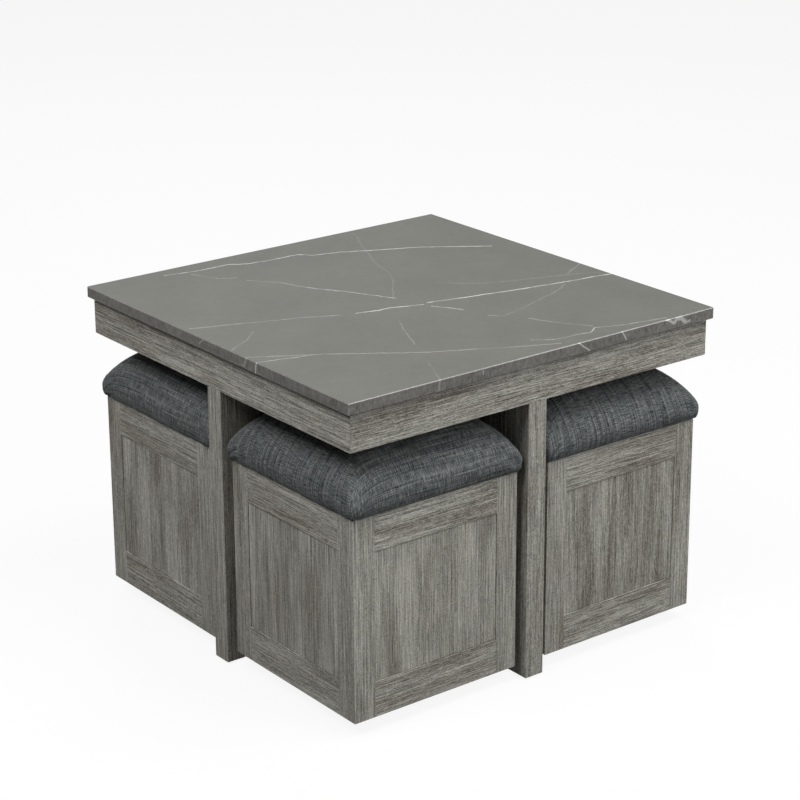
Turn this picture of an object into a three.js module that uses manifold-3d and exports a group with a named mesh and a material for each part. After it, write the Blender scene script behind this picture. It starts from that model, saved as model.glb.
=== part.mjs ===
// Square coffee table with a stone top, a cross-shaped base and four box stools that park under it.
// Lengths are in millimetres. +Z is up, the origin is on the floor under the middle of the table,
// and the table's sides run along X and Y. The front is at -Y and the left side is at -X.
import * as THREE from 'three';
import { mergeVertices } from 'three/addons/utils/BufferGeometryUtils.js';
import Module from 'manifold-3d';

// Fits
const jointGap = 0.3; // between wooden pieces that are glued or screwed together
const holeGap = 0.3; // round a dowel, on the radius
const cutOverrun = 1; // how far a cut runs past the face that it opens

// Table top
const tableHeight = 524;
const topSide = 700;
const topThickness = 18;
const topEdgeEase = 1.2;
const topCornerRadius = 2;
const topOverhang = 7.5;
const apronHeight = 59;
const apronThickness = 18;
const subTopThickness = 15;

// Cross-shaped base
const crossThickness = 34;
const crossEndSetback = 0.5; // from the outside of the apron
const glideDiameter = 24;
const glideHeight = 3;
const glideEndInset = 30;
const dowelDiameter = 10;
const dowelDepth = 30; // in each half panel

// Stool box
const stoolSetback = 10.5; // from the outside of the apron to the outer faces of the stool
const stoolCrossGap = 13;
const wallThickness = 18;
const stileWidth = 38; // at the corners of the stool, the thickness of the neighbouring wall included
const railHeight = 56;
const recessDepth = 1.2;
const insetThickness = 6;
const bottomBoardThickness = 12;
const footHeight = 24;
const footTopDiameter = 40;
const footBottomDiameter = 34;
const footInset = 80; // from the outer faces of the stool to the middle of the foot

// Stool seat
const seatClearance = 6; // from the crown of the cushion to the underside of the apron
const lidBoardThickness = 12;
const lidBearing = 13; // how far the board lies on the box walls
const lidGap = 0.3;
const lidPlugDepth = 8; // the part of the board that drops into the box and keeps the lid in place
const lidPlugGap = 2;
const cushionHeight = 100;
const cushionGap = 1; // the dark line between the cushion and the box
const cushionHemOverhang = 3.5;
const cushionOverhang = 10;
const cushionWidestHeight = 22; // above the hem
const hemCornerRadius = 2;
const widestCornerRadius = 8;

// Shape of the crown: a superellipse from the widest line to the middle, and how fast its corners round off
const crownSideExponent = 3.5;
const crownTopExponent = 1.3;
const crownCornerShare = 0.6;
const dowelHeightShares = [0.15, 0.5, 0.85];

// Facets
const roundSides = 16;
const edgeSteps = 2;
const cornerSteps = 6;
const hemSteps = 4;
const crownSteps = 14;

// Levels and places that follow from the sizes above
const topUnderside = tableHeight - topThickness;
const apronBottom = topUnderside - apronHeight;
const subTopUnderside = topUnderside - subTopThickness;
const apronOuter = topSide / 2 - topOverhang;
const apronInner = apronOuter - apronThickness;
const crossEnd = apronOuter - crossEndSetback;
const crossHalf = crossThickness / 2;
const crossHeight = subTopUnderside - glideHeight;
const stoolInner = crossHalf + stoolCrossGap;
const stoolOuter = apronOuter - stoolSetback;
const stoolSide = stoolOuter - stoolInner;
const stoolHalf = stoolSide / 2;
const stoolCentre = (stoolInner + stoolOuter) / 2;
const seatTop = apronBottom - seatClearance;
const hemLevel = seatTop - cushionHeight;
const boxTop = hemLevel - cushionGap;
const boxHeight = boxTop - footHeight;
const boxInner = stoolHalf - wallThickness;
const windowWidth = stoolSide - 2 * stileWidth;
const windowHeight = boxHeight - 2 * railHeight;
const lidHalf = boxInner + lidBearing;
const lidUnderside = boxTop + lidGap;

const oak = new THREE.MeshStandardMaterial({ color: 0x8b8780, roughness: 0.7, metalness: 0 });
const stone = new THREE.MeshStandardMaterial({ color: 0x7c7c76, roughness: 0.35, metalness: 0 });
const linen = new THREE.MeshStandardMaterial({ color: 0x42484f, roughness: 0.95, metalness: 0 });
const board = new THREE.MeshStandardMaterial({ color: 0xa58d6c, roughness: 0.85, metalness: 0 });
const plastic = new THREE.MeshStandardMaterial({ color: 0x1c1c1e, roughness: 0.5, metalness: 0 });

const wasm = await Module();
wasm.setup();

function piece(name, geometry, material, x = 0, y = 0, z = 0, turn = 0) {
  const mesh = new THREE.Mesh(geometry, material);
  mesh.name = name;
  mesh.position.set(x, y, z);
  mesh.rotation.z = turn;
  return mesh;
}

// A plain board with its middle at the origin in plan and its underside at z = 0
function boardGeometry(length, width, height) {
  return new THREE.BoxGeometry(length, width, height).translate(0, 0, height / 2);
}

function rodGeometry(diameter, height, bottomDiameter = diameter) {
  const rod = new THREE.CylinderGeometry(diameter / 2, bottomDiameter / 2, height, roundSides);
  return rod.rotateX(Math.PI / 2).translate(0, 0, height / 2);
}

function extruded(points, height) {
  const shape = new THREE.Shape(points.map(([x, y]) => new THREE.Vector2(x, y)));
  return new THREE.ExtrudeGeometry(shape, { depth: height, bevelEnabled: false });
}

function toSolid(geometry) {
  const bare = geometry.clone();
  bare.deleteAttribute('normal');
  bare.deleteAttribute('uv');
  const merged = mergeVertices(bare);
  const vertProperties = new Float32Array(merged.attributes.position.array);
  const triVerts = new Uint32Array(merged.index.array);
  return new wasm.Manifold(new wasm.Mesh({ numProp: 3, vertProperties, triVerts }));
}

function fromSolid(solid) {
  const mesh = solid.getMesh();
  const geometry = new THREE.BufferGeometry();
  geometry.setAttribute('position', new THREE.BufferAttribute(mesh.vertProperties, 3));
  geometry.setIndex(new THREE.BufferAttribute(mesh.triVerts, 1));
  geometry.computeVertexNormals();
  return geometry;
}

function cutAway(geometry, cutters) {
  return fromSolid(cutters.reduce((solid, cutter) => solid.subtract(toSolid(cutter)), toSolid(geometry)));
}

// Stone top, laid on the apron and the sub-top
function topGeometry() {
  const half = topSide / 2 - topEdgeEase;
  const radius = topCornerRadius;
  const outline = new THREE.Shape();
  outline.moveTo(-half + radius, -half);
  outline.lineTo(half - radius, -half);
  outline.absarc(half - radius, -half + radius, radius, -Math.PI / 2, 0);
  outline.lineTo(half, half - radius);
  outline.absarc(half - radius, half - radius, radius, 0, Math.PI / 2);
  outline.lineTo(-half + radius, half);
  outline.absarc(-half + radius, half - radius, radius, Math.PI / 2, Math.PI);
  outline.lineTo(-half, -half + radius);
  outline.absarc(-half + radius, -half + radius, radius, Math.PI, Math.PI * 1.5);
  const slab = new THREE.ExtrudeGeometry(outline, {
    depth: topThickness - 2 * topEdgeEase,
    curveSegments: edgeSteps,
    bevelSize: topEdgeEase,
    bevelThickness: topEdgeEase,
    bevelSegments: edgeSteps,
  });
  return slab.translate(0, 0, topEdgeEase);
}

// One side of the apron, mitred at both ends, with its outer face at y = 0
function apronGeometry() {
  const outerHalf = apronOuter - jointGap;
  const innerHalf = apronInner - jointGap;
  const outerEdge = [[-outerHalf, 0], [outerHalf, 0]];
  const innerEdge = [[innerHalf, apronThickness], [-innerHalf, apronThickness]];
  return extruded([...outerEdge, ...innerEdge], apronHeight);
}

// Holes for the dowels, running along X from the middle of the table to the given distance
function dowelHoles(distance) {
  const hole = rodGeometry(dowelDiameter + 2 * holeGap, distance).rotateY(Math.PI / 2);
  return dowelHeightShares.map((share) => hole.clone().translate(0, 0, share * crossHeight));
}

// The end of a base panel in X and Z, with the notch that the apron sits in
function panelEnd() {
  const shoulder = apronBottom - glideHeight;
  const notch = apronInner - jointGap;
  return [[crossEnd, 0], [crossEnd, shoulder], [notch, shoulder], [notch, crossHeight]];
}

// Base panel with the given outline in X and Z, standing on z = 0
function crossPanelGeometry(outline) {
  return extruded(outline, crossThickness).rotateX(Math.PI / 2).translate(0, crossHalf, 0);
}

// Base panel across the whole table
function longPanelGeometry() {
  const right = panelEnd();
  const left = right.map(([x, z]) => [-x, z]).reverse();
  const reach = crossHalf + cutOverrun;
  const holes = dowelHoles(2 * reach).map((hole) => hole.translate(-reach, 0, 0).rotateZ(Math.PI / 2));
  return cutAway(crossPanelGeometry([...right, ...left]), holes);
}

// Base panel from the long one to the edge of the table
function halfPanelGeometry() {
  const start = crossHalf + jointGap;
  const outline = [[start, 0], ...panelEnd(), [start, crossHeight]];
  return cutAway(crossPanelGeometry(outline), dowelHoles(crossHalf + dowelDepth + holeGap));
}

function buildTable() {
  const table = new THREE.Group();
  table.add(piece('marble_top', topGeometry(), stone, 0, 0, topUnderside));
  const subTopSide = 2 * (apronInner - jointGap);
  const subTop = boardGeometry(subTopSide, subTopSide, subTopThickness);
  table.add(piece('sub_top', subTop, board, 0, 0, subTopUnderside));

  const apron = apronGeometry();
  table.add(piece('apron_front', apron, oak, 0, -apronOuter, apronBottom));
  table.add(piece('apron_right', apron, oak, apronOuter, 0, apronBottom, Math.PI / 2));
  table.add(piece('apron_back', apron, oak, 0, apronOuter, apronBottom, Math.PI));
  table.add(piece('apron_left', apron, oak, -apronOuter, 0, apronBottom, -Math.PI / 2));

  const halfPanel = halfPanelGeometry();
  table.add(piece('base_panel_long', longPanelGeometry(), oak, 0, 0, glideHeight));
  table.add(piece('base_panel_front', halfPanel, oak, 0, 0, glideHeight, -Math.PI / 2));
  table.add(piece('base_panel_back', halfPanel, oak, 0, 0, glideHeight, Math.PI / 2));

  const dowelLength = crossThickness + 2 * dowelDepth;
  const dowel = rodGeometry(dowelDiameter, dowelLength).rotateX(Math.PI / 2).translate(0, dowelLength / 2, 0);
  ['lower', 'middle', 'upper'].forEach((place, count) => {
    const level = glideHeight + dowelHeightShares[count] * crossHeight;
    table.add(piece(`base_dowel_${place}`, dowel, board, 0, 0, level));
  });

  const glide = rodGeometry(glideDiameter, glideHeight);
  const glideDistance = crossEnd - glideEndInset;
  table.add(piece('base_glide_front', glide, plastic, 0, -glideDistance, 0));
  table.add(piece('base_glide_right', glide, plastic, glideDistance, 0, 0));
  table.add(piece('base_glide_back', glide, plastic, 0, glideDistance, 0));
  table.add(piece('base_glide_left', glide, plastic, -glideDistance, 0, 0));
  return table;
}

// Wall of a stool, standing on z = 0 with its show face at y = 0: stiles and rails round a thin inset
function wallGeometry(width) {
  const blank = boardGeometry(width, wallThickness, boxHeight).translate(0, wallThickness / 2, 0);
  const innerDepth = wallThickness - recessDepth - insetThickness;
  const recess = boardGeometry(windowWidth, recessDepth + cutOverrun, windowHeight);
  recess.translate(0, (recessDepth - cutOverrun) / 2, railHeight);
  const hollow = boardGeometry(windowWidth, innerDepth + cutOverrun, windowHeight);
  hollow.translate(0, wallThickness - (innerDepth - cutOverrun) / 2, railHeight);
  return cutAway(blank, [recess, hollow]);
}

// Seat board on z = 0, rebated all round so that its lower part drops into the box
function lidBoardGeometry() {
  const plugSide = 2 * (boxInner - lidPlugGap);
  const upper = boardGeometry(2 * lidHalf, 2 * lidHalf, lidBoardThickness);
  const plug = boardGeometry(plugSide, plugSide, lidPlugDepth + cutOverrun).translate(0, 0, -lidPlugDepth);
  return fromSolid(toSolid(upper).add(toSolid(plug)));
}

function roundedSquare(half, radius, height) {
  const ring = [];
  const limited = Math.min(radius, half);
  for (let corner = 0; corner < 4; corner += 1) {
    const signX = corner === 0 || corner === 3 ? 1 : -1;
    const signY = corner < 2 ? 1 : -1;
    for (let step = 0; step <= cornerSteps; step += 1) {
      const angle = (corner + step / cornerSteps) * Math.PI / 2;
      const x = signX * (half - limited) + limited * Math.cos(angle);
      const y = signY * (half - limited) + limited * Math.sin(angle);
      ring.push(new THREE.Vector3(x, y, height));
    }
  }
  return ring;
}

// A closed skin through rings with equally many points, with a point on the axis at each end
function loftGeometry(rings, startHeight, endHeight) {
  const sides = rings[0].length;
  const points = [new THREE.Vector3(0, 0, startHeight), ...rings.flat(), new THREE.Vector3(0, 0, endHeight)];
  const last = points.length - 1;
  const index = [];
  for (let side = 0; side < sides; side += 1) {
    const next = (side + 1) % sides;
    index.push(0, 1 + next, 1 + side);
    for (let ring = 0; ring < rings.length - 1; ring += 1) {
      const low = 1 + ring * sides;
      const high = low + sides;
      index.push(low + side, low + next, high + next, low + side, high + next, high + side);
    }
    const top = 1 + (rings.length - 1) * sides;
    index.push(top + side, top + next, last);
  }
  const geometry = new THREE.BufferGeometry().setFromPoints(points);
  geometry.setIndex(index);
  geometry.computeVertexNormals();
  return geometry;
}

// Upholstered seat: a drawn-in hem, full sides and a high crown, hollow underneath for the lid board.
// The hem is at z = 0.
function cushionGeometry() {
  const pocketHalf = lidHalf + jointGap;
  const pocketTop = lidUnderside + lidBoardThickness + jointGap - hemLevel;
  const hemHalf = stoolHalf + cushionHemOverhang;
  const widestHalf = stoolHalf + cushionOverhang;
  const crownHeight = cushionHeight - cushionWidestHeight;
  const rings = [
    roundedSquare(pocketHalf, jointGap, pocketTop),
    roundedSquare(pocketHalf, jointGap, 0),
  ];
  for (let step = 0; step <= hemSteps; step += 1) {
    const share = step / hemSteps;
    const half = hemHalf + (widestHalf - hemHalf) * Math.sin(share * Math.PI / 2);
    const radius = hemCornerRadius + (widestCornerRadius - hemCornerRadius) * share;
    rings.push(roundedSquare(half, radius, cushionWidestHeight * share));
  }
  for (let step = 1; step < crownSteps; step += 1) {
    const angle = (step / crownSteps) * Math.PI / 2;
    const half = widestHalf * Math.cos(angle) ** (2 / crownSideExponent);
    const height = cushionWidestHeight + crownHeight * Math.sin(angle) ** (2 / crownTopExponent);
    const radius = widestCornerRadius + crownCornerShare * (widestHalf - half);
    rings.push(roundedSquare(half, radius, height));
  }
  return loftGeometry(rings, pocketTop, cushionHeight);
}

const wideWall = wallGeometry(stoolSide);
const narrowWall = wallGeometry(2 * (boxInner - jointGap));
const bottomSide = 2 * (boxInner - jointGap);
const bottomBoard = boardGeometry(bottomSide, bottomSide, bottomBoardThickness);
const foot = rodGeometry(footTopDiameter, footHeight, footBottomDiameter);
const lidBoard = lidBoardGeometry();
const cushion = cushionGeometry();

// One stool. x and y point to its corner of the table, and turn is how its front is turned from -Y.
function buildStool(place, x, y, turn) {
  const stool = new THREE.Group();
  stool.position.set(x * stoolCentre, y * stoolCentre, 0);
  stool.rotation.z = turn;
  const name = (part) => `${place}_stool_${part}`;
  stool.add(piece(name('front_wall'), wideWall, oak, 0, -stoolHalf, footHeight));
  stool.add(piece(name('back_wall'), wideWall, oak, 0, stoolHalf, footHeight, Math.PI));
  stool.add(piece(name('left_wall'), narrowWall, oak, -stoolHalf, 0, footHeight, -Math.PI / 2));
  stool.add(piece(name('right_wall'), narrowWall, oak, stoolHalf, 0, footHeight, Math.PI / 2));
  stool.add(piece(name('bottom_board'), bottomBoard, board, 0, 0, footHeight));
  const footDistance = stoolHalf - footInset;
  stool.add(piece(name('foot_front_left'), foot, plastic, -footDistance, -footDistance));
  stool.add(piece(name('foot_front_right'), foot, plastic, footDistance, -footDistance));
  stool.add(piece(name('foot_back_right'), foot, plastic, footDistance, footDistance));
  stool.add(piece(name('foot_back_left'), foot, plastic, -footDistance, footDistance));
  stool.add(piece(name('lid_board'), lidBoard, board, 0, 0, lidUnderside));
  stool.add(piece(name('cushion'), cushion, linen, 0, 0, hemLevel));
  return stool;
}

const model = new THREE.Group();
model.add(buildTable());
model.add(buildStool('front_left', -1, -1, 0));
model.add(buildStool('front_right', 1, -1, 0));
model.add(buildStool('back_right', 1, 1, Math.PI));
model.add(buildStool('back_left', -1, 1, -Math.PI / 2));

export default model;
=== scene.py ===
# Coffee table with a grey marble top, a cross-shaped base and four box stools with linen seats.
# Metres, +Z up, origin on the floor under the middle of the table; the front is at -Y, the left at -X.
import math
import random

import bpy
import numpy as np
from mathutils import Matrix, Vector


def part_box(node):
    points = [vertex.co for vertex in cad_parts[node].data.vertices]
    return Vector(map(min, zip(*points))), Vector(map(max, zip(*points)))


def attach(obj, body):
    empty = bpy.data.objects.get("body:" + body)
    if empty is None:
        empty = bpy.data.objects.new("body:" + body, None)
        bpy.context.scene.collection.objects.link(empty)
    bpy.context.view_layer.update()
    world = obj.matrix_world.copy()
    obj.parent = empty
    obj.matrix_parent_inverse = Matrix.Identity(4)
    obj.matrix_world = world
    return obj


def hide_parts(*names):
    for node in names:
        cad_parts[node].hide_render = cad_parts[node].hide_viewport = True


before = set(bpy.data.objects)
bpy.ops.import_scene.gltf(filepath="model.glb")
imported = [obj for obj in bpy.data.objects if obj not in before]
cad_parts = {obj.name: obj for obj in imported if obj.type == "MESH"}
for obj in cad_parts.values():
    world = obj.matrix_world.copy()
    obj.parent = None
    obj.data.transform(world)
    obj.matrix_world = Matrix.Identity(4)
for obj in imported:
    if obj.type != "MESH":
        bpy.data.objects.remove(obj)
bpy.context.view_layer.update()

print("frame loaded")


# Camera, floor and light

photoCamera = {
    "place": (-2.0963, -2.7306, 1.5980),
    "turn": -37.6366,  # degrees round Z, 0 looks along +Y
    "tilt": 17.9092,  # degrees below the horizon
    "roll": -0.2851,
    "lens": 103.67,
    "sensor": 36,
    "shift": -0.1,  # the photograph's frame lies lower than the lens's axis
}


def addCamera(look):
    data = bpy.data.cameras.new("photoCamera")
    data.lens = look["lens"]
    data.sensor_width = look["sensor"]
    data.shift_y = look["shift"]
    camera = bpy.data.objects.new("photoCamera", data)
    bpy.context.collection.objects.link(camera)
    turned = Matrix.Rotation(math.radians(look["turn"]), 4, "Z")
    tilted = Matrix.Rotation(math.radians(90 - look["tilt"]), 4, "X")
    rolled = Matrix.Rotation(math.radians(look["roll"]), 4, "Z")
    camera.matrix_world = Matrix.Translation(look["place"]) @ turned @ tilted @ rolled
    bpy.context.scene.camera = camera


addCamera(photoCamera)


# Shader maths: a socket adds, multiplies and so on as a number does

class Socket:
    def __init__(self, recipe, link):
        self.recipe = recipe
        self.link = link

    def __add__(self, other):
        return self.recipe.maths("ADD", self, other)

    def __radd__(self, other):
        return self.recipe.maths("ADD", other, self)

    def __sub__(self, other):
        return self.recipe.maths("SUBTRACT", self, other)

    def __rsub__(self, other):
        return self.recipe.maths("SUBTRACT", other, self)

    def __mul__(self, other):
        return self.recipe.maths("MULTIPLY", self, other)

    def __rmul__(self, other):
        return self.recipe.maths("MULTIPLY", other, self)

    def __truediv__(self, other):
        return self.recipe.maths("DIVIDE", self, other)


class Recipe:
    def __init__(self, made):  # made is a new material or world
        self.made = made
        made.use_nodes = True
        self.tree = made.node_tree
        self.tree.nodes.clear()

    def node(self, kind, settings=None, inputs=None, output=0):
        made = self.tree.nodes.new("ShaderNode" + kind)
        for key, value in (settings or {}).items():
            if key == "stops":
                self.setStops(made.color_ramp, value)
            else:
                setattr(made, key, value)
        for key, value in (inputs or {}).items():
            if isinstance(value, Socket):
                self.tree.links.new(value.link, made.inputs[key])
            else:
                made.inputs[key].default_value = value
        return Socket(self, made.outputs[output]) if output is not None else made

    def setStops(self, ramp, stops):
        while len(ramp.elements) < len(stops):
            ramp.elements.new(1)
        for element, (place, colour) in zip(ramp.elements, stops):
            element.position = place
            element.color = (*colour, 1)

    def maths(self, operation, *values):
        return self.node("Math", {"operation": operation}, dict(enumerate(values)))

    def vector(self, x, y, z):
        return self.node("CombineXYZ", None, {0: x, 1: y, 2: z})

    def parts(self, vector):
        made = self.node("SeparateXYZ", None, {0: vector})
        return [Socket(self, output) for output in made.link.node.outputs]

    def attribute(self, name, output):  # output 1 is a vector, output 2 a single value
        return self.node("Attribute", {"attribute_name": name}, None, output)

    def place(self):  # the point's place in its piece
        return self.parts(self.node("TexCoord", None, None, "Object"))

    def noise(self, place, detail, roughness=0.5):
        inputs = {"Vector": place, "Scale": 1, "Detail": detail, "Roughness": roughness}
        return self.node("TexNoise", None, inputs)

    def grains(self, x, y, z, look):
        scale, detail, roughness = look
        return self.noise(self.vector(x * scale, y * scale, z * scale), detail, roughness)

    def step(self, value, low, high):  # 0 at low, 1 at high, smooth between
        inputs = {"Value": value, "From Min": low, "From Max": high}
        return self.node("MapRange", {"interpolation_type": "SMOOTHSTEP"}, inputs)

    def ramp(self, value, stops):
        return self.node("ValToRGB", {"stops": list(stops)}, {"Fac": value})

    def mix(self, share, first, second):  # colours
        return self.node("Mix", {"data_type": "RGBA"}, {0: share, 6: first, 7: second}, 2)

    def dot(self, vector, other):
        return self.node("VectorMath", {"operation": "DOT_PRODUCT"}, {0: vector, 1: other}, "Value")

    def bump(self, height, distance, strength):
        return self.node("Bump", None, {"Height": height, "Distance": distance, "Strength": strength})

    def finish(self, colour, roughness, normal=None, constants=None):
        inputs = {"Base Color": colour, "Roughness": roughness}
        if normal:
            inputs["Normal"] = normal
        inputs.update(constants or {})
        self.show("OutputMaterial", self.node("BsdfPrincipled", None, inputs))
        return self.made

    def show(self, output, surface):
        self.node(output, None, {"Surface": surface}, None)


def tone(red, green, blue):  # a colour as a screen shows it, 0 to 255, as the linear one that shaders use
    return tuple(((share / 255 + 0.055) / 1.055) ** 2.4 for share in (red, green, blue))


def plain(colour):
    return (*colour, 1)


studio = {
    "floorColour": (0.10, 0.10, 0.10),  # as the object sees it
    "shownColour": (0.96, 0.96, 0.96),  # as the camera sees it
    "floorGlow": 0.9,  # how much of the camera's view of the floor is plain white
    "floorSize": 30,
    "surround": 0.03,  # the world's brightness, as the object sees it
    "aim": (0, 0, 0.3),
    "lamps": {  # place, width, height and power
        "key": ((0.9, -1.9, 4.3), 2.0, 2.0, 80),
        "front": ((0.6, -3.6, 2.4), 2.0, 2.0, 43),
        "left": ((-2.5, -0.3, 3.8), 2.0, 2.0, 98),
        "glint": ((2.17, -1.48, 3.0), 1.1, 1.2, 18),  # shows in the eased edge of the top
        "back": ((1.4, 3.1, 3.5), 2.0, 2.0, 52),
    },
}


def addLamp(name, place, width, height, power, aim):
    data = bpy.data.lights.new(name, "AREA")
    data.shape = "RECTANGLE"
    data.size = width
    data.size_y = height
    data.energy = power
    lamp = bpy.data.objects.new(name, data)
    bpy.context.collection.objects.link(lamp)
    lamp.location = place
    lamp.rotation_euler = (Vector(aim) - Vector(place)).to_track_quat("-Z", "Y").to_euler()


def seen(recipe, *kinds):  # 1 for rays of these kinds
    path = recipe.node("LightPath", None, None, None)
    share = 0
    for kind in kinds:
        share = recipe.maths("MAXIMUM", share, Socket(recipe, path.outputs["Is " + kind + " Ray"]))
    return share


def addStudio(look):
    bpy.ops.mesh.primitive_plane_add(size=look["floorSize"])
    floor = bpy.context.object
    floor.name = "floor"
    paper = Recipe(bpy.data.materials.new("paper"))
    share = seen(paper, "Camera", "Glossy", "Transmission")
    colour = paper.mix(share, plain(look["floorColour"]), plain(look["shownColour"]))
    matt = paper.node("BsdfDiffuse", None, {"Color": colour})
    white = paper.node("Emission", None, {"Color": plain((1, 1, 1)), "Strength": 1})
    lit = {0: share * look["floorGlow"], 1: matt, 2: white}
    paper.show("OutputMaterial", paper.node("MixShader", None, lit))
    floor.data.materials.append(paper.made)

    world = bpy.data.worlds.new("surround")
    bpy.context.scene.world = world
    air = Recipe(world)
    soft = air.node("Background", None, {"Color": plain((1, 1, 1)), "Strength": look["surround"]})
    white = air.node("Background", None, {"Color": plain((1, 1, 1)), "Strength": 1})
    share = seen(air, "Camera", "Glossy", "Transmission")
    air.show("OutputWorld", air.node("MixShader", None, {0: share, 1: soft, 2: white}))

    for name, lamp in look["lamps"].items():
        addLamp(name, *lamp, look["aim"])


addStudio(studio)
bpy.context.scene.view_settings.view_transform = "Standard"
print("camera, floor and light in place")


# Materials

oakLook = {
    "grey": (tone(104, 103, 95), tone(170, 168, 159), tone(226, 224, 215)),  # dark, middle and light
    "brown": (tone(97, 92, 85), tone(165, 159, 149), tone(217, 211, 202)),
    "stops": (0.1, 0.5, 0.9),  # the shades at which these lie
    "textures": {  # features in a metre along and across the grain, and finer steps
        "line": (8, 540, 1),
        "dash": (36, 680, 0),
        "fine": (320, 900, 1),
        "fleck": (90, 560, 0),
        "crack": (3.5, 220, 1),
        "thread": (4.5, 280, 1),
        "stretch": (22, 260, 0),
        "ringDrift": (3, 55, 1),
        "streak": (5, 170, 1),
        "band": (5, 30, 1),
        "board": (3, 22, 2),
        "pore": (70, 580, 0),
        "wave": (3, 20, 1),
    },
    "textureRoughness": 0.55,
    "waveReach": 0.0015,
    "ringPitch": 0.0049,
    "ringSway": 6,
    "hairline": 0.045,  # the texture's value at which a crack or a light thread ends
    "crackStretch": (-0.05, 0.10),  # cracks are where the stretch is high, threads where it is low
    "threadStretch": (0.05, -0.10),
    "threadShift": 5,  # keeps them off the cracks
    "poreLimits": (0.10, 0.22),
    "fleckLimits": (0.08, 0.24),
    "knots": 17,  # places for a knot in a metre
    "knotPick": (0.84, 0.86),  # which of them have one
    "knotReach": 0.09,
    "shade": {  # what each mark adds to the shade, from 0, dark, to 1, light, or takes from it
        "start": 0.5, "line": 0.75, "fine": 0.75, "rings": 0.03, "driftingRings": 0.06,
        "thread": 0.11, "crack": 0.11, "dash": 0.45, "fleck": 0.16, "pore": 0.16,
        "short": 0.6, "lyingShort": 0.2,  # dash, fleck and pore, and so much more on boards that lie across
        "marks": 1.25, "lyingMarks": 0.5,  # all marks together
        # the eased edges are painted lighter: partly edge wear, partly a painted highlight
        "streak": 0.05, "band": 0.22, "board": 0.4, "knot": 0.35, "wear": 0.06,
    },
    "warmth": {"band": 0.6, "board": 0.7, "lying": 0.05, "limits": (0.05, -0.25)},
    "height": {"dash": 0.6, "pore": 0.5, "rings": 0.05},
    "relief": 0.0004,
    "bump": 0.6,
    "roughness": 0.66,
    "lineRoughness": 0.15,
    "constants": {"Specular IOR Level": 0.2},
}


def oakMaterial(look):
    oak = Recipe(bpy.data.materials.new("oak"))
    along, across, deep = oak.parts(oak.attribute("grain", 1))
    edgeWearAndHighlight, lying, figure = (oak.attribute(name, 2) for name in ("wear", "lying", "figure"))

    def texture(name, sideways):  # around 0
        length, width, detail = look["textures"][name]
        place = oak.vector(along * length, sideways * width, deep * width)
        return oak.noise(place, detail, look["textureRoughness"]) - 0.5

    def hairlines(name, sideways):  # 1 where the texture passes through 0
        return 1 - oak.step(oak.maths("ABSOLUTE", texture(name, sideways)), 0.0, look["hairline"])

    bent = across + texture("wave", across) * look["waveReach"]
    drift = texture("ringDrift", across)
    wave = oak.maths("SINE", (bent / look["ringPitch"] + drift * look["ringSway"]) * (2 * math.pi))
    names = ("line", "dash", "fine", "stretch", "streak", "band", "board")
    line, dash, fine, stretch, streak, band, patch = (texture(name, bent) for name in names)
    crack = hairlines("crack", bent) * oak.step(stretch, *look["crackStretch"])
    thread = hairlines("thread", bent + look["threadShift"]) * oak.step(stretch, *look["threadStretch"])
    pore = oak.step(texture("pore", bent), *look["poreLimits"])
    fleck = oak.step(texture("fleck", bent), *look["fleckLimits"])

    spots = oak.vector(along, across, deep)
    cells = oak.node("TexVoronoi", None, {"Vector": spots, "Scale": look["knots"]}, None)
    distance = Socket(oak, cells.outputs["Distance"])
    rare = oak.step(oak.parts(Socket(oak, cells.outputs["Color"]))[0], *look["knotPick"])
    knot = (1 - oak.step(distance, 0.0, look["knotReach"])) * rare

    adds = look["shade"]
    rings = wave * (adds["rings"] + drift * adds["driftingRings"])
    hairs = thread * adds["thread"] - crack * adds["crack"]
    marks = line * adds["line"] + fine * adds["fine"] + rings + hairs
    short = dash * adds["dash"] + fleck * adds["fleck"] - pore * adds["pore"]
    marks = marks + short * (adds["short"] + lying * adds["lyingShort"])
    tones = band * adds["band"] + patch * adds["board"]
    shade = adds["start"] + marks * (adds["marks"] + lying * adds["lyingMarks"])
    # the eased edges get a lighter shade, partly edge wear and partly a painted highlight
    shade = shade + streak * adds["streak"] + tones * figure - knot * adds["knot"] + edgeWearAndHighlight * adds["wear"]

    grey, brown = (oak.ramp(shade, zip(look["stops"], look[name])) for name in ("grey", "brown"))
    warm = look["warmth"]
    warmth = oak.step(band * warm["band"] + patch * warm["board"] - lying * warm["lying"], *warm["limits"])
    raised = look["height"]
    height = line + dash * raised["dash"] - pore * raised["pore"] + wave * raised["rings"]
    roughness = look["roughness"] + line * look["lineRoughness"]
    bump = oak.bump(height, look["relief"], look["bump"])
    return oak.finish(oak.mix(warmth, grey, brown), roughness, bump, look["constants"])


stoneLook = {
    "dark": tone(88, 88, 83),
    "light": tone(120, 120, 114),
    "vein": tone(222, 222, 217),
    # the sides' colours are lighter than the top's: partly the sawn face's own colour, partly painted light
    # that makes up for the weaker light falling on the sides
    "edgeDark": tone(87, 85, 82),
    "edgeLight": tone(160, 158, 153),
    "stops": (0.1, 0.9),
    "wobble": (11, 3, 0.6),  # a noise: features in a metre, finer steps, and how strong these are
    "ripple": (70, 2, 0.6),
    "breaks": (26, 3, 0.65),
    "cloud": (9, 6, 0.66),
    "grit": (110, 3, 0.7),
    "drag": (300, 3, 0.7),
    "dragHeight": 0.3,  # the saw's marks are longer upwards
    "wobbleReach": 0.012,
    "rippleReach": 0.004,
    "breakLimits": (0.40, 0.54),
    "breakRest": 0.45,  # what is left of a vein in a break
    "veinEdge": (0.0003, 0.0022),  # from its middle line, where a vein starts to fade and where it ends
    "edge": (0.0012, 0.0006),  # from the slab's side, where the top's stone ends and the side's begins
    "top": {"start": 0.50, "cloud": 0.60, "grit": 0.30},
    "side": {"start": 0.54, "drag": 1.2, "grit": 0.7, "cloud": 0.6},
    "roughness": 0.42,
    "cloudRoughness": 0.10,
    "constants": {"Coat Roughness": 0.12, "Specular IOR Level": 0.05},
}

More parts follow.
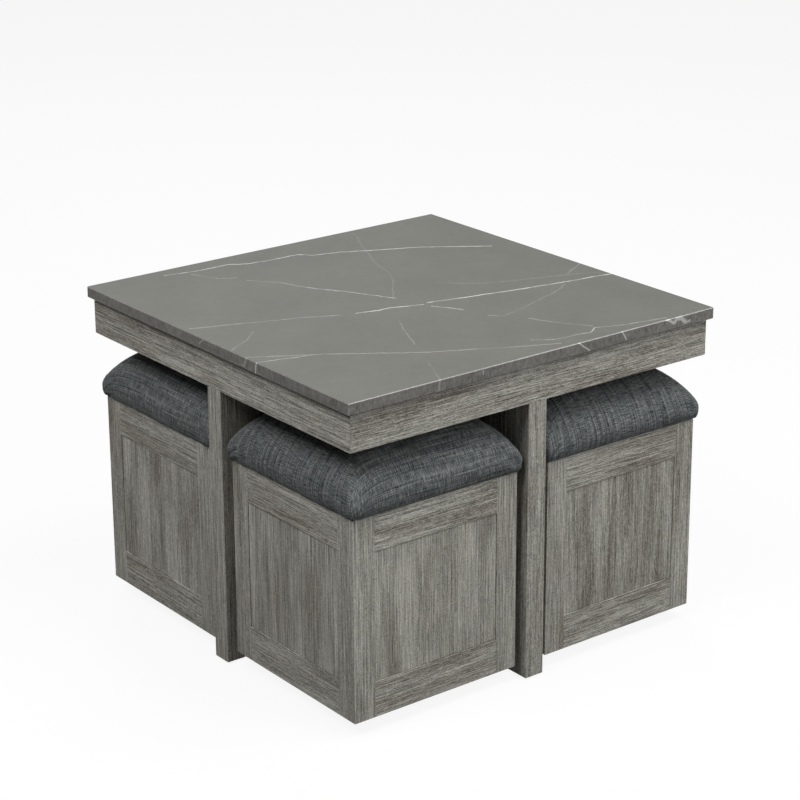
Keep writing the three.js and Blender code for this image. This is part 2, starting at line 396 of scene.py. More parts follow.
# Each vein: how bright, how wide, and its points as shares of half the top's side
topVeins = {
    "far": (0.8, 1.0, [(-0.64, 0.93), (-0.46, 0.89), (-0.30, 0.89), (-0.23, 0.84), (-0.12, 0.82),
                       (0.05, 0.82), (0.09, 0.77), (0.23, 0.73), (0.34, 0.67), (0.58, 0.56), (0.86, 0.36)]),
    "farTwin": (0.25, 0.8, [(-0.53, 0.87), (-0.46, 0.72), (-0.39, 0.69)]),
    "slope": (0.3, 0.8, [(-0.38, 0.62), (-0.28, 0.50), (-0.23, 0.36)]),
    "slopeMiddle": (0.6, 0.9, [(-0.23, 0.36), (-0.18, 0.28), (-0.11, 0.17), (-0.01, -0.02)]),
    "slopeEnd": (0.75, 0.9, [(0.04, -0.21), (0.12, -0.34)]),
    "slant": (0.10, 0.8, [(0.47, 0.96), (0.35, 0.68), (0.25, 0.49), (0.20, 0.30), (0.14, 0.19),
                          (-0.02, -0.01)]),
    "main": (0.36, 0.9, [(-0.97, 0.18), (-0.77, 0.11), (-0.59, 0.04), (-0.50, 0.01), (-0.35, -0.07)]),
    "mainMiddle": (0.9, 0.9, [(-0.28, -0.09), (-0.18, -0.12), (-0.12, -0.12), (0.03, -0.17)]),
    "mainEnd": (0.9, 1.1, [(0.06, -0.16), (0.16, -0.19), (0.41, -0.24), (0.72, -0.30), (1.0, -0.34)]),
    "upper": (0.16, 0.9, [(0.28, 0.05), (0.42, -0.08), (0.60, -0.15), (0.84, -0.23), (0.97, -0.29)]),
    "upperBranch": (0.22, 0.9, [(0.85, -0.21), (1.0, -0.12)]),
    "cross": (0.3, 0.8, [(0.15, -0.47), (0.20, -0.52)]),
    "crossEnd": (0.12, 1.2, [(0.20, -0.52), (0.31, -0.49), (0.60, -0.39), (0.72, -0.33)]),
    "middle": (0.35, 0.8, [(0.26, -0.61), (0.33, -0.75), (0.41, -0.87)]),
    "right": (0.45, 0.9, [(0.07, -0.84), (0.14, -0.89), (0.34, -0.92), (0.40, -0.89), (0.53, -0.94),
                          (0.73, -0.97)]),
    "near": (0.34, 0.9, [(-1.0, -0.28), (-0.70, -0.46), (-0.38, -0.69), (-0.24, -0.76), (-0.04, -0.87),
                         (0.14, -0.95)]),
    "nearTwin": (0.45, 0.9, [(-1.0, -0.37), (-0.94, -0.38), (-0.75, -0.43)]),
    "left": (0.13, 1.1, [(-1.0, -0.17), (-0.96, -0.15), (-0.85, -0.09), (-0.78, -0.02)]),
    "stick": (0.17, 0.7, [(-0.20, -0.28), (-0.35, -0.58)]),
    "nick": (0.11, 0.8, [(-0.45, -0.81), (-0.54, -1.0)]),
}

# On the two sides that the photograph shows: shares along the side, and of the thickness below the top
leftVeins = {
    "faint": (0.5, 0.6, [(0.03, -0.1), (0.07, -0.6)]),
    "hook": (0.6, 0.7, [(-0.29, 0.0), (-0.27, -0.8), (-0.25, -0.7)]),
    "bold": (1.0, 1.0, [(-0.37, 0.0), (-0.36, -0.4), (-0.357, -1.0)]),
}
frontVeins = {
    "leaning": (0.8, 0.8, [(0.20, 0.0), (0.26, -0.9)]),
    "upright": (0.9, 0.8, [(0.45, 0.0), (0.48, -0.8)]),
    "patchStart": (1.0, 1.4, [(0.705, 0.0), (0.725, -0.12)]),
    "patchFall": (0.9, 1.6, [(0.725, -0.12), (0.75, -0.5)]),
    "patchArch": (0.8, 2.6, [(0.755, -0.40), (0.77, -0.15), (0.80, -0.2), (0.82, -0.6)]),
    "patchEnd": (0.6, 1.6, [(0.82, -0.7), (0.85, -0.6)]),
    "speck": (0.6, 0.8, [(-0.32, -0.2), (-0.32, -0.5)]),
    "nick": (0.4, 0.7, [(-0.54, 0.0), (-0.545, -0.9)]),
}


def veinLines(recipe, place, veins, scale, edge):  # bright where a point of a plane is near a vein's line
    found = 0
    for bright, wide, shares in veins.values():
        points = [Vector((first * scale[0], second * scale[1])) for first, second in shares]
        for start, end in zip(points, points[1:]):
            run = (end - start).normalized()
            middle = run.dot((start + end) / 2)
            half = (end - start).length / 2
            alongIt = recipe.dot(place, (run.x, run.y, 0)) - middle
            besideIt = recipe.dot(place, (-run.y, run.x, 0)) - (start.y * run.x - start.x * run.y)
            past = recipe.maths("MAXIMUM", recipe.maths("ABSOLUTE", alongIt) - half, 0)
            reach = past + recipe.maths("ABSOLUTE", besideIt)
            line = (1 - recipe.step(reach, edge[0] * wide, edge[1] * wide)) * bright
            found = recipe.maths("MAXIMUM", found, line)
    return found


def stoneMaterial(look, low, high):
    stone = Recipe(bpy.data.materials.new("stone"))
    half = high.x
    thick = high.z - low.z
    eased = stone.attribute("wear", 2)
    x, y, z = stone.place()
    wobble = stone.grains(x, y, z, look["wobble"]) - 0.5
    ripple = stone.grains(x, y, z, look["ripple"]) - 0.5
    bentX = x + wobble * look["wobbleReach"] + ripple * look["rippleReach"]
    bentY = y - wobble * look["wobbleReach"] + ripple * look["rippleReach"]
    below = z - high.z

    edge = [half - inwards for inwards in look["edge"]]
    furthest = stone.maths("MAXIMUM", stone.maths("ABSOLUTE", x), stone.maths("ABSOLUTE", y))
    onSide, onLeft, onFront = (stone.step(reach, *edge) for reach in (furthest, 0 - x, 0 - y))
    broken = stone.step(stone.grains(x, y, z, look["breaks"]), *look["breakLimits"])
    kept = look["breakRest"] + broken * (1 - look["breakRest"])
    onTop = veinLines(stone, stone.vector(bentX, bentY, 0), topVeins, (half, half), look["veinEdge"])
    leftSide = veinLines(stone, stone.vector(bentY, below, 0), leftVeins, (half, thick), look["veinEdge"])
    frontSide = veinLines(stone, stone.vector(bentX, below, 0), frontVeins, (half, thick), look["veinEdge"])
    sides = stone.maths("MAXIMUM", leftSide * onLeft, frontSide * onFront)
    veins = stone.maths("MAXIMUM", onTop * kept * (1 - onSide), sides)

    cloud = stone.grains(x, y, z, look["cloud"]) - 0.5
    grit = stone.grains(x, y, z, look["grit"]) - 0.5
    drag = stone.grains(x, y, z * look["dragHeight"], look["drag"]) - 0.5
    adds = look["top"]
    shade = adds["start"] + cloud * adds["cloud"] + grit * adds["grit"]
    body = stone.ramp(shade, zip(look["stops"], (look["dark"], look["light"])))
    # the sides: saw marks, in a colour painted lighter to make up for the weaker light on them
    adds = look["side"]
    shade = adds["start"] + drag * adds["drag"] + grit * adds["grit"] + cloud * adds["cloud"]
    sawnSideLightened = stone.ramp(shade, zip(look["stops"], (look["edgeDark"], look["edgeLight"])))
    veined = stone.mix(veins, stone.mix(onSide, body, sawnSideLightened), plain(look["vein"]))
    constants = {"Coat Weight": eased, **look["constants"]}
    return stone.finish(veined, look["roughness"] + cloud * look["cloudRoughness"], None, constants)


linenLook = {
    "dark": tone(38, 41, 44),
    "middle": tone(99, 103, 104),
    "light": tone(159, 162, 160),
    "stops": (0.0, 0.46, 1.0),
    "thread": 0.0011,
    "slubs": (0.110, 0.020),  # lengths of the thicker stretches of the threads that run along u and along v
    "layers": {  # stretches in a slub, features in a thread's width, place in the noise, and weight
        "single": (1.6, 1.0, 0, 1.7),
        "group": (0.7, 0.3, 5, 0.15),
    },
    "layerRoughness": 0.6,
    "drift": (16, 0.003),  # waves in a metre, and how far they carry the threads
    "thick": (14, 0.5),  # thick threads: stretches in a metre, and features in a thread's width
    "thickLimits": (0.67, 0.76),
    "thickWeft": 0.6,  # how dark these are where they run along v
    "lightShift": 3,  # of the light threads
    "knots": 0.6,  # features in a thread's width
    "patch": 14,
    "depths": {  # each texture's place in the noise
        "drift": 2.2, "warp": 3.7, "weft": 8.1, "knots": 1.4,
        "patch": 0.5, "thickWarp": 6.3, "thickWeft": 9.6, "light": 2.9,
    },
    "shade": {  # what each adds to the shade, or takes from it
        "start": 0.46, "warp": 0.74, "weft": 0.90, "knots": 0.4, "patch": 0.18, "dark": 0.13, "light": 0.12,
    },
    "relief": 0.0006,
    "bump": 0.6,
    "roughness": 0.85,
    "patchRoughness": 0.1,
    "constants": {"Specular IOR Level": 0.1, "Sheen Weight": 0.06, "Sheen Roughness": 0.5},
}


def linenMaterial(look):
    linen = Recipe(bpy.data.materials.new("linen"))
    u, v = linen.parts(linen.node("UVMap", {"uv_map": "weave"}))[:2]
    dense = 1 / look["thread"]
    depths = look["depths"]
    waves, reach = look["drift"]
    drift = (linen.noise(linen.vector(u * waves, v * waves, depths["drift"]), 1) - 0.5) * reach

    def threads(run, side, slub, depth):
        found = 0
        for stretches, width, shift, weight in look["layers"].values():
            place = linen.vector(run / slub * stretches, side * dense * width, depth + shift)
            found = found + (linen.noise(place, 1, look["layerRoughness"]) - 0.5) * weight
        return found

    def thick(run, side, depth):  # a thicker thread here and there
        stretches, width = look["thick"]
        place = linen.vector(run * stretches, side * dense * width, depth)
        return linen.step(linen.noise(place, 0), *look["thickLimits"])

    warpSlub, weftSlub = look["slubs"]
    warp = threads(u, v + drift, warpSlub, depths["warp"])
    weft = threads(v, u + drift, weftSlub, depths["weft"])
    fine = dense * look["knots"]
    knots = linen.noise(linen.vector(u * fine, v * fine, depths["knots"]), 0) - 0.5
    patch = linen.noise(linen.vector(u * look["patch"], v * look["patch"], depths["patch"]), 2) - 0.5
    thickWarp = thick(u, v + drift, depths["thickWarp"])
    thickWeft = thick(v, u + drift, depths["thickWeft"]) * look["thickWeft"]
    dark = linen.maths("MAXIMUM", thickWarp, thickWeft)
    light = thick(v + look["lightShift"], u + drift, depths["light"])
    adds = look["shade"]
    shade = adds["start"] + warp * adds["warp"] + weft * adds["weft"] + knots * adds["knots"]
    shade = shade + patch * adds["patch"] - dark * adds["dark"] + light * adds["light"]
    colour = linen.ramp(shade, zip(look["stops"], (look["dark"], look["middle"], look["light"])))
    bump = linen.bump((warp + weft) / 2, look["relief"], look["bump"])
    roughness = look["roughness"] + patch * look["patchRoughness"]
    return linen.finish(colour, roughness, bump, look["constants"])


boardLook = {  # the pieces inside: pressed wood
    "dark": tone(126, 99, 66),
    "light": tone(190, 163, 122),
    "stops": (0.2, 0.8),
    "chips": (260, 420, 420),
    "cloud": (12, 3, 0.5),
    "shares": (0.6, 0.4),  # of chips and cloud in the shade
    "roughness": (0.8, 0.1),  # and what the cloud adds
    "relief": 0.0002,
    "bump": 0.5,
}


def boardMaterial(look):
    board = Recipe(bpy.data.materials.new("board"))
    x, y, z = board.place()
    spots = board.vector(*(place * scale for place, scale in zip((x, y, z), look["chips"])))
    speck = board.parts(board.node("TexVoronoi", None, {"Vector": spots, "Scale": 1}, "Color"))[0]
    cloud = board.grains(x, y, z, look["cloud"])
    shade = speck * look["shares"][0] + cloud * look["shares"][1]
    colour = board.ramp(shade, zip(look["stops"], (look["dark"], look["light"])))
    roughness = look["roughness"][0] + cloud * look["roughness"][1]
    return board.finish(colour, roughness, board.bump(speck, look["relief"], look["bump"]))


plasticLook = {
    "dark": tone(24, 24, 26),
    "light": tone(40, 40, 43),
    "stops": (0.3, 0.7),
    "grains": (900, 2, 0.5),
    "roughness": (0.45, 0.2),  # and what the grains add
    "relief": 0.0001,
    "bump": 0.5,
}


def plasticMaterial(look):
    plastic = Recipe(bpy.data.materials.new("plastic"))
    grains = plastic.grains(*plastic.place(), look["grains"])
    colour = plastic.ramp(grains, zip(look["stops"], (look["dark"], look["light"])))
    roughness = look["roughness"][0] + grains * look["roughness"][1]
    return plastic.finish(colour, roughness, plastic.bump(grains, look["relief"], look["bump"]))


topLow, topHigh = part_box("marble_top")
oak = oakMaterial(oakLook)
stone = stoneMaterial(stoneLook, topLow, topHigh)
linen = linenMaterial(linenLook)
board = boardMaterial(boardLook)
plastic = plasticMaterial(plasticLook)
print("materials mixed")


# Help for modelling

draws = random.Random(11)
grainReach = 20  # how far apart the boards are cut from the tree
lyingSpread = 1.35  # boards that lie across show a finer grain


def mode(name):
    bpy.ops.object.mode_set(mode=name)


def addBlock(low, high):
    bpy.ops.mesh.primitive_cube_add(size=1, location=(Vector(low) + Vector(high)) / 2)
    block = bpy.context.object
    block.scale = Vector(high) - Vector(low)
    bpy.ops.object.transform_apply(location=True, rotation=True, scale=True)
    return block


def ease(obj, width, segments=2):
    rounding = obj.modifiers.new("ease", "BEVEL")
    rounding.width = width
    rounding.segments = segments
    rounding.limit_method = "ANGLE"
    bpy.context.view_layer.objects.active = obj
    bpy.ops.object.modifier_apply(modifier=rounding.name)


def bevelEdges(obj, chosen, width, segments):  # chosen takes the two ends of an edge
    mode("EDIT")
    bpy.ops.mesh.select_mode(type="EDGE")
    bpy.ops.mesh.select_all(action="DESELECT")
    mode("OBJECT")
    for edge in obj.data.edges:
        edge.select = chosen(*(obj.data.vertices[i].co for i in edge.vertices))
    mode("EDIT")
    bpy.ops.mesh.bevel(offset=width, segments=segments)
    mode("OBJECT")


def joined(parts):
    bpy.ops.object.select_all(action="DESELECT")
    for part in parts:
        part.select_set(True)
    bpy.context.view_layer.objects.active = parts[0]
    bpy.ops.object.join()
    return parts[0]


def fetched(source, key, width=1, kind=float):  # an array with a row for each element
    found = np.zeros(len(source) * width, kind)
    source.foreach_get(key, found)
    return found.reshape(-1, width) if width > 1 else found


def store(mesh, name, values, kind="FLOAT", domain="POINT"):  # a new attribute
    made = mesh.attributes.new(name, kind, domain)
    values = np.array(values, np.int32 if kind == "INT" else np.float32)
    made.data.foreach_set("vector" if kind == "FLOAT_VECTOR" else "value", values.ravel())


def markEasedFaces(obj):  # 1 on the faces that ease an edge
    level = [max(abs(share) for share in face.normal) for face in obj.data.polygons]
    store(obj.data, "wear", [share < 0.999 for share in level], domain="FACE")


def markGrain(obj, along, across, number=0, figure=1.0):  # where each point lies in its own board
    places = fetched(obj.data.vertices, "co", 3)
    if along != 2:
        places[:, across] *= lyingSpread
    deep = 3 - along - across
    store(obj.data, "grain", places[:, [along, across, deep]], "FLOAT_VECTOR")
    store(obj.data, "lying", np.full(len(places), along != 2))
    store(obj.data, "figure", np.full(len(places), figure))
    store(obj.data, "board", np.full(len(places), number), "INT")


def shuffleGrain(obj):  # every board is cut from another place of the tree
    stored = obj.data.attributes
    grain = fetched(stored["grain"].data, "vector", 3, np.float32)
    number = fetched(stored["board"].data, "value", 1, np.int32)
    for single in sorted(set(number.tolist())):
        shift = [draws.uniform(-grainReach, grainReach) for axis in range(3)]
        grain[number == single] += np.array(shift, np.float32)
    stored["grain"].data.foreach_set("vector", grain.ravel())
    stored.remove(stored["board"])


def camel(words):
    first, *others = words.split("_")
    return first + "".join(word.capitalize() for word in others)


def placed(source, name, matrix):
    copy = source.copy()
    copy.data = source.data.copy()
    copy.name = name
    copy.data.name = name
    copy.data.transform(matrix)
    bpy.context.collection.objects.link(copy)
    return copy


def settle(obj, material, body, node):
    obj.data.materials.clear()
    obj.data.materials.append(material)
    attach(obj, body)
    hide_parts(node)


# Marble top

topShape = {"cornerRadius": 0.002, "edgeEase": 0.0011}


def addTop(shape):
    top = addBlock(topLow, topHigh)
    top.name = "marbleSlab"

    def upright(first, second):
        return abs(first.z - second.z) > abs(first.x - second.x) + abs(first.y - second.y)

    bevelEdges(top, upright, shape["cornerRadius"], 3)
    ease(top, shape["edgeEase"], 1)
    markEasedFaces(top)
    settle(top, stone, "table", "marble_top")


addTop(topShape)
print("marble top made")


# Apron and base of grey oak

tableShape = {
    "ease": 0.0008,
    "mitreEase": 0.0012,
    "mitreSlope": 67.5,  # half of the way from the face to the mitre
}


def addApron(shape):
    low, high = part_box("apron_front")
    thick = high.y - low.y
    blank = addBlock(low, high)
    mode("EDIT")
    bpy.ops.mesh.select_mode(type="VERT")
    for side in (-1, 1):
        bpy.ops.mesh.select_all(action="DESELECT")
        mode("OBJECT")
        for vertex in blank.data.vertices:
            vertex.select = vertex.co.x * side > 0 and vertex.co.y > high.y - thick / 2
        mode("EDIT")
        bpy.ops.transform.translate(value=(-side * thick, 0, 0))
    bevelEdges(blank, lambda first, second: abs(first.x - second.x) > thick, shape["ease"], 2)
    slope = math.radians(shape["mitreSlope"])
    mode("EDIT")
    for side in (-1, 1):
        bpy.ops.mesh.select_all(action="SELECT")
        point = (side * (high.x - shape["mitreEase"]), low.y, 0)
        normal = (side * math.cos(slope), -math.sin(slope), 0)
        bpy.ops.mesh.bisect(plane_co=point, plane_no=normal, use_fill=True, clear_outer=True)
    mode("OBJECT")
    markGrain(blank, 0, 2)
    markEasedFaces(blank)
    for place, turn in {"front": 0, "right": 90, "back": 180, "left": -90}.items():
        turned = Matrix.Rotation(math.radians(turn), 4, "Z")
        apron = placed(blank, "apronBoard" + place.capitalize(), turned)
        shuffleGrain(apron)
        settle(apron, oak, "table", "apron_" + place)
    bpy.data.objects.remove(blank)


def addBasePanel(node, along, shape):  # a standing board, notched at the ends that carry the apron
    low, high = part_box(node)
    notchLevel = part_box("apron_front")[0].z
    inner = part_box("apron_right")[0].x if along == 0 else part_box("apron_back")[0].y
    start = max(low[along], -inner)
    end = min(high[along], inner)
    panel = addBlock(low, (high.x, high.y, notchLevel))
    panel.name = camel(node)
    normal = Vector((0, 0, 0))
    normal[along] = 1
    mode("EDIT")
    for cut in (start, end):
        if low[along] < cut < high[along]:
            bpy.ops.mesh.select_all(action="SELECT")
            bpy.ops.mesh.bisect(plane_co=normal * cut, plane_no=normal)
    bpy.ops.mesh.select_mode(type="FACE")
    bpy.ops.mesh.select_all(action="DESELECT")
    mode("OBJECT")
    for face in panel.data.polygons:
        face.select = face.normal.z > 0.9 and start < face.center[along] < end
    mode("EDIT")
    bpy.ops.mesh.extrude_region_move(TRANSFORM_OT_translate={"value": (0, 0, high.z - notchLevel)})
    mode("OBJECT")
    markGrain(panel, 2, 1 - along)
    shuffleGrain(panel)
    ease(panel, shape["ease"])
    markEasedFaces(panel)
    settle(panel, oak, "table", node)


addApron(tableShape)
longLow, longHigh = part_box("base_panel_long")
longAlong = 0 if longHigh.x - longLow.x > longHigh.y - longLow.y else 1
for end, panelAlong in {"long": longAlong, "front": 1 - longAlong, "back": 1 - longAlong}.items():
    addBasePanel("base_panel_" + end, panelAlong, tableShape)
print("apron and base made")


# Stool boxes

stoolShape = {
    "stile": 0.038,
    "rail": 0.056,
    "recess": 0.0012,
    "inset": 0.006,
    "insetFigure": 1.8,  # how much bolder the soft bands of tone on the inset panels are
    "groove": (0.0008, 0.0010),  # width and depth of the line round the inset panel
    "ease": 0.0005,
    "turns": {"front_left": 0, "front_right": 0, "back_right": 180, "back_left": -90},
    "wallTurns": {"front_wall": 0, "back_wall": 180, "left_wall": -90, "right_wall": 90},
}


def stoolMiddle(place):
    low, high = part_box(place + "_stool_bottom_board")
    return Vector(((low.x + high.x) / 2, (low.y + high.y) / 2, 0))


def cutGroove(panel, width, depth):  # round the face that looks to -Y
    panel.data.polygons.foreach_set("select", [face.normal.y < -0.9 for face in panel.data.polygons])
    mode("EDIT")
    bpy.ops.mesh.select_mode(type="FACE")
    bpy.ops.transform.translate(value=(0, depth, 0))
    bpy.ops.mesh.inset(thickness=width)
    bpy.ops.mesh.extrude_region_move(TRANSFORM_OT_translate={"value": (0, -depth, 0)})
    mode("OBJECT")


def wallModel(width, window, low, high, thick, shape):  # show face at y = 0, seen from -Y
    half = width / 2
    opening = window / 2
    top = high - shape["rail"]
    bottom = low + shape["rail"]
    back = shape["recess"] + shape["inset"]
    boards = [
        ((-half, 0, low), (-opening, thick, high), 2),
        ((opening, 0, low), (half, thick, high), 2),
        ((-opening, 0, top), (opening, thick, high), 0),
        ((-opening, 0, low), (opening, thick, bottom), 0),
        ((-opening, shape["recess"], bottom), (opening, back, top), 2),
    ]
    made = []
    for number, (near, far, along) in enumerate(boards):
        block = addBlock(near, far)
        figure = 1.0
        if near[1] > 0:
            cutGroove(block, *shape["groove"])
            figure = shape["insetFigure"]
        markGrain(block, along, 2 - along, number, figure)
        ease(block, shape["ease"])
        markEasedFaces(block)
        made.append(block)
    return joined(made)


def addStools(shape):
    low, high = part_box("front_left_stool_front_wall")
    sideLow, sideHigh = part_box("front_left_stool_left_wall")
    side = high.x - low.x
    thick = high.y - low.y
    window = side - 2 * shape["stile"]
    wide = wallModel(side, window, low.z, high.z, thick, shape)
    narrow = wallModel(sideHigh.y - sideLow.y, window, low.z, high.z, thick, shape)
    outward = Matrix.Translation((0, -side / 2, 0))
    for place, turn in shape["turns"].items():
        middle = Matrix.Translation(stoolMiddle(place))
        for wall, wallTurn in shape["wallTurns"].items():
            model = wide if wall in ("front_wall", "back_wall") else narrow
            turned = Matrix.Rotation(math.radians(turn + wallTurn), 4, "Z")
            made = placed(model, camel(place + "_" + wall), middle @ turned @ outward)
            shuffleGrain(made)
            settle(made, oak, place + "_stool", place + "_stool_" + wall)
    bpy.data.objects.remove(wide)
    bpy.data.objects.remove(narrow)


addStools(stoolShape)
print("stool boxes made")


# Cushions: foam under a linen cover that is folded at the corners and drawn in under the seat

cushionShape = {
    "hemOverhang": 0.0005,
    "hemExponent": 2.8,
    "overhang": 0.010,
    "widestHeight": 0.022,
    "hemRadius": 0.002,
    "widestRadius": 0.008,
    "sideExponent": 3.5,
    "topExponent": 1.3,
    "cornerShare": 0.6,
    "crownSteps": 400,
    "hemSteps": 40,
    "cells": 96,
    "slack": 0.003,  # how much smaller the cover starts before it is filled
    "pressure": 4.0,
    "quality": 5,
    "frames": 20,
    "mostSwell": 0.006,
    "pocketHalf": 0.147,
    "pocketHeight": 0.0118,
    "smoothAngle": 50,
    "turns": {"front_left": 0, "front_right": 90, "back_right": 180, "back_left": 270},
}

foldShape = {
    "pull": 0.030,  # how far the threads beside a corner are drawn down
    "pullReach": 0.025,
    "pullStart": 0.015,
    "gather": 0.026,  # how far the threads on its other side are drawn sideways
    "gatherReach": 0.030,
    "gatherEnd": 0.06,
    "foldTop": (0.020, 0.110),  # heights over which the fold closes into plain cloth
    "creaseLength": 0.034,
    "creaseStart": 0.003,  # its height at the corner
    "creaseHeight": 0.032,
    "creaseBend": 0.75,
    "creaseDepth": 0.0022,
    "creaseWidth": 0.0024,
    "creaseFoot": (0.001, 0.006),
    "creaseFade": 0.6,  # the share of its length at which it starts to fade
    "secondHeight": (0.002, 0.011),  # at the corner, and its rise
    "secondLength": 0.04,
    "secondDepth": 0.6,  # as a share of the first crease
    "secondFoot": (0.002, 0.008),
    "secondFade": (0.02, 0.045),
    "flap": 0.0018,
    "flapWidth": 0.005,
    "flapReach": 0.016,
    "flapShare": 0.7,  # how much of it lies along the corner
    "flapFoot": 0.006,
    "flapFade": (0.02, 0.055),
    "fan": 0.0007,
    "fanRays": {"fromLeft": (7, 0.6), "fromRight": (8, 2.1)},  # how close the rays are, and their turn
    "fanStart": (0.006, 0.018),
    "fanEnd": (0.03, 0.075),
    "pucker": 0.0003,
    "puckerWaves": ((150, 40), (263, 55)),  # along the face, and how far X or Y shifts them
    "puckerReach": 0.012,
    "puckerFoot": 0.004,
}


def smooth(value, low, high):
    share = np.clip((value - low) / (high - low), 0, 1)
    return share * share * (3 - 2 * share)


def hill(value, width):
    return np.exp(-(value / width) ** 2)


def crownProfile(shape, half, height):  # rings from the middle of the top down to the hem
    widest = half + shape["overhang"]
    hem = half + shape["hemOverhang"]
    crown = height - shape["widestHeight"]
    rings = []
    for step in range(shape["crownSteps"] + 1):
        angle = (1 - step / shape["crownSteps"]) * math.pi / 2
        ringHalf = widest * max(math.cos(angle), 0) ** (2 / shape["sideExponent"])
        level = shape["widestHeight"] + crown * math.sin(angle) ** (2 / shape["topExponent"])
        rings.append((ringHalf, level, shape["widestRadius"] + shape["cornerShare"] * (widest - ringHalf)))
    for step in range(1, shape["hemSteps"] + 1):
        angle = step / shape["hemSteps"] * math.pi / 2
        drawnIn = math.cos(angle) ** (2 / shape["hemExponent"])
        ringHalf = hem + (widest - hem) * drawnIn
        radius = shape["hemRadius"] + (shape["widestRadius"] - shape["hemRadius"]) * drawnIn
        level = shape["widestHeight"] * (1 - math.sin(angle) ** (2 / shape["hemExponent"]))
        rings.append((ringHalf, level, radius))
    halves, levels, radii = np.array(rings).T
    runs = np.hypot(np.diff(halves), np.diff(levels))
    distance = np.concatenate([[0], np.cumsum(runs)])
    return {"distance": distance, "half": halves, "level": levels, "radius": np.minimum(radii, halves)}


def onFace(profile, sheet, sideways):  # how far out each point of the cloth is, and along its face
    lead = np.where(sideways, sheet[:, 0], sheet[:, 1])
    trail = np.where(sideways, sheet[:, 1], sheet[:, 0])
    share = np.abs(lead)
    part = np.divide(trail, share, out=np.zeros_like(trail), where=share > 1e-6)
    distance = share * profile["distance"][-1]
    ring = [np.interp(distance, profile["distance"], profile[key]) for key in ("half", "level", "radius")]
    return np.sign(lead), share, part, *ring


def coverPlaces(profile, sheet):  # where the points of a square of cloth, from -1 to 1, lie on the cushion
    sideways = np.abs(sheet[:, 0]) > np.abs(sheet[:, 1])
    sign, share, part, half, level, radius = onFace(profile, sheet, sideways)
    straight = half - radius
    run = np.abs(part) * (straight + radius * math.pi / 4)
    bend = np.clip(run - straight, 0, None) / np.maximum(radius, 1e-9)
    outward = np.where(bend > 0, straight + radius * np.cos(bend), half) * sign
    aside = np.where(bend > 0, straight + radius * np.sin(bend), run) * np.sign(part)
    return np.stack([np.where(sideways, outward, aside), np.where(sideways, aside, outward), level], 1)


def sewnCover(shape, half, height):
    profile = crownProfile(shape, half, height)
    bpy.ops.mesh.primitive_grid_add(x_subdivisions=shape["cells"], y_subdivisions=shape["cells"], size=2)
    cover = bpy.context.object
    sheet = fetched(cover.data.vertices, "co", 3)
    store(cover.data, "sheet", sheet, "FLOAT_VECTOR")
    cover.data.vertices.foreach_set("co", coverPlaces(profile, sheet).ravel())
    cover.data.update()
    return cover, profile


def fill(cover, shape):  # the foam presses the cover out, which stays fixed at the hem
    start = fetched(cover.data.vertices, "co", 3)
    hem = cover.vertex_groups.new(name="hem")
    hem.add([int(i) for i in np.flatnonzero(start[:, 2] < 1e-6)], 1.0, "REPLACE")
    cloth = cover.modifiers.new("fill", "CLOTH")
    cloth.settings.use_pressure = True
    cloth.settings.uniform_pressure_force = shape["pressure"]
    cloth.settings.effector_weights.gravity = 0
    cloth.settings.vertex_group_mass = "hem"
    cloth.settings.quality = shape["quality"]
    cloth.collision_settings.use_collision = False
    cloth.point_cache.frame_start = 1
    cloth.point_cache.frame_end = shape["frames"]
    scene = bpy.context.scene
    for number in range(1, shape["frames"] + 1):
        scene.frame_set(number)
    graph = bpy.context.evaluated_depsgraph_get()
    filled = fetched(cover.evaluated_get(graph).data.vertices, "co", 3)
    cover.modifiers.remove(cloth)
    scene.frame_set(1)
    move = filled - start
    length = np.linalg.norm(move, axis=1, keepdims=True)
    print("  cover moved by at most", round(float(length.max()) * 1000, 1), "mm")
    capped = move * np.minimum(1, shape["mostSwell"] / np.maximum(length, 1e-9))
    cover.data.vertices.foreach_set("co", (start + capped).ravel())
    cover.data.update()


def sheetOf(mesh):
    return fetched(mesh.attributes["sheet"].data, "vector", 3, np.float32)[:, :2].astype(float)


def faceFrame(profile, sheet, sideways):  # where points lie on their face, in metres of cloth
    sign, share, part, half, level, radius = onFace(profile, sheet, sideways)
    reach = half - radius + radius * math.pi / 4
    along = part * reach * np.where(sideways, sign, -sign)
    total = profile["distance"][-1]
    return {
        "along": along,  # from the middle of the face to its right
        "down": share * total,  # from the middle of the top
        "up": (1 - share) * total,  # from the hem
        "fromLeft": np.clip(reach + along, 0, None),
        "fromRight": np.clip(reach - along, 0, None),
        "spare": share * total - reach,  # how much more cloth a flat square has here than the face takes
    }


